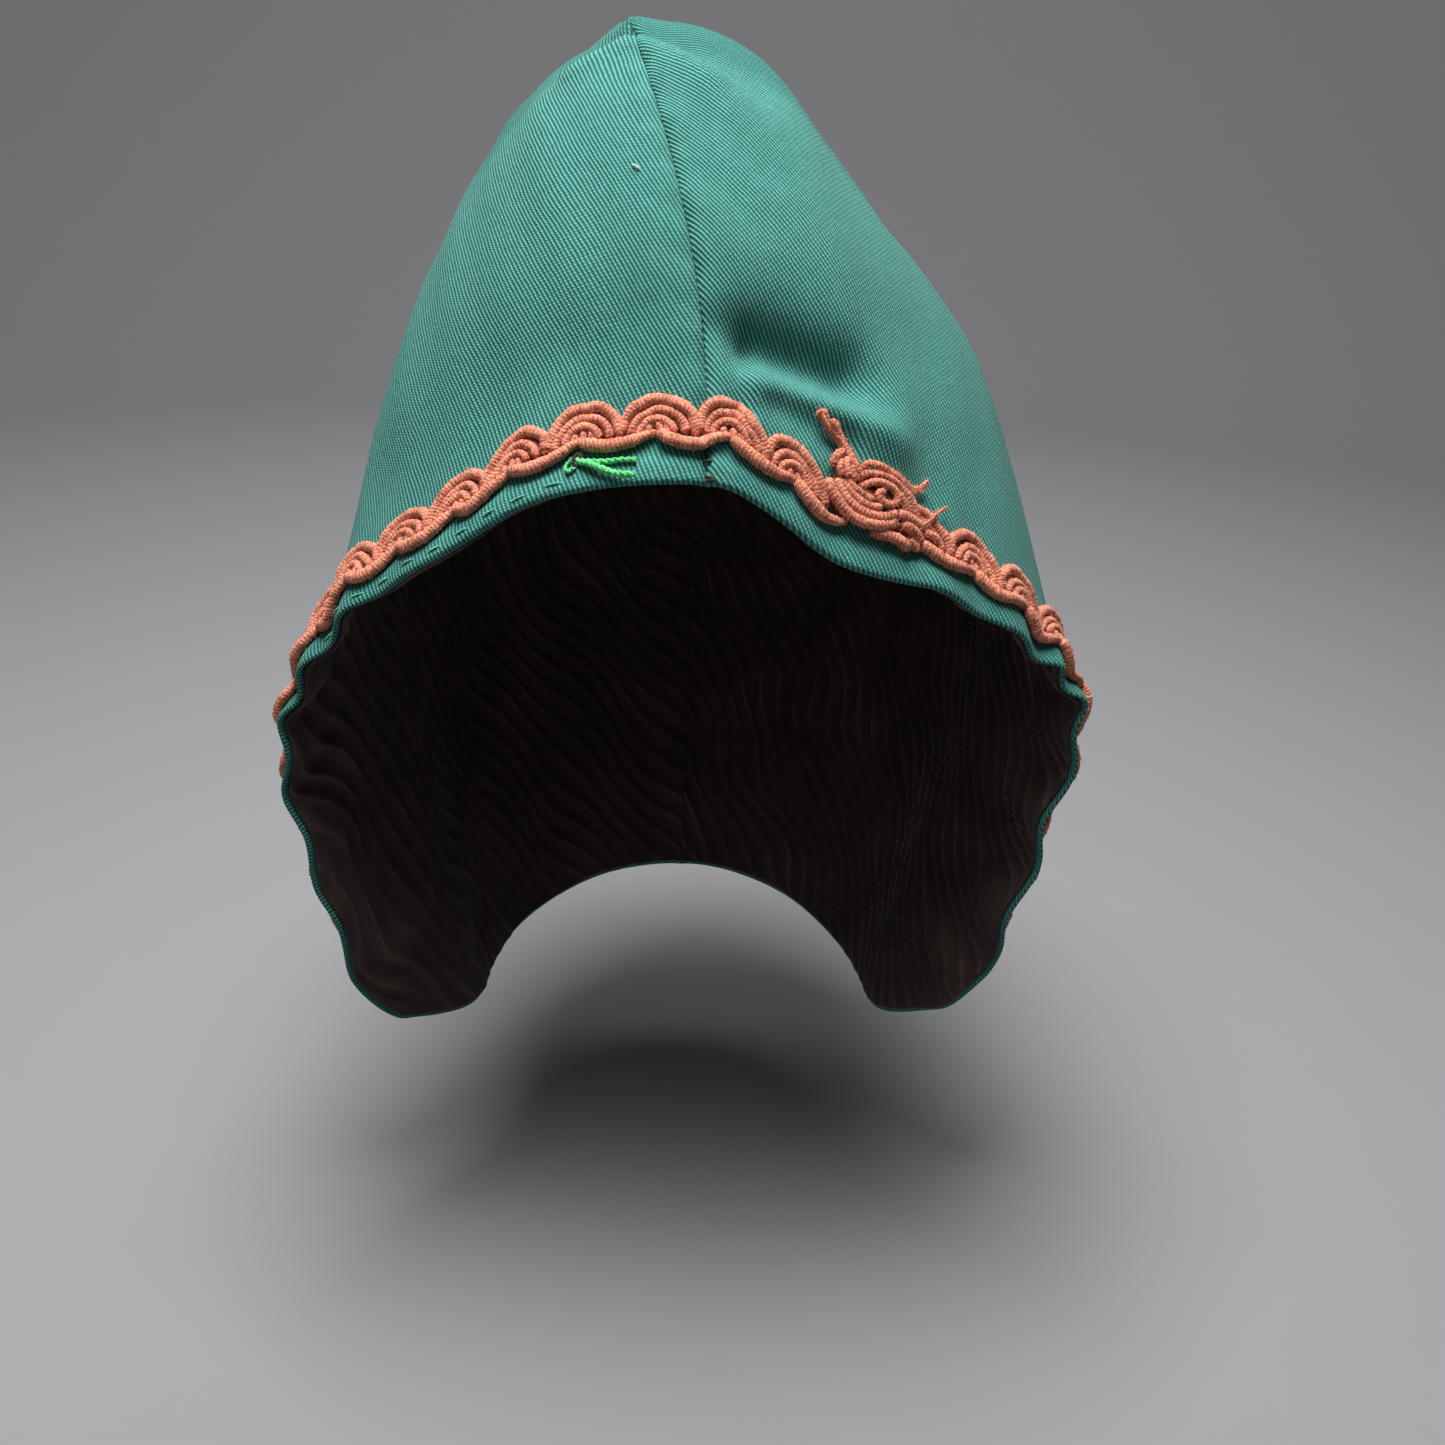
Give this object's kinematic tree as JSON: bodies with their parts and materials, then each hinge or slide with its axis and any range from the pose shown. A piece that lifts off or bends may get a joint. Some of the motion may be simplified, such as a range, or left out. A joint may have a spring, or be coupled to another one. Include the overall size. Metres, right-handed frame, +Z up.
{
  "type": "pointed hood",
  "caption": "Pointed cloth hood with a dark lining, an open face with a rolled front edge, and a scalloped cord braid that ends in a knot.",
  "frame": {"origin": "spot inside the crown, on the lining, where the head carries the hood", "axes": "+Z up towards the tip, -Y the way the face looks, +X to the right as seen from the front"},
  "size_m": [0.1845, 0.1598, 0.2494],
  "materials": {
    "shell_cloth": "cotton twill",
    "lining_cloth": "crinkled cloth",
    "braid": "wrapped cord"
  },
  "bodies": {
    "root": {"shell_right": "shell_cloth", "shell_left": "shell_cloth", "lining_right": "lining_cloth", "lining_left": "lining_cloth", "braid_long": "braid", "braid_short": "braid", "braid_knot": "braid", "braid_loose_end": "braid", "braid_loose_strand": "braid"}
  },
  "joints": []
}
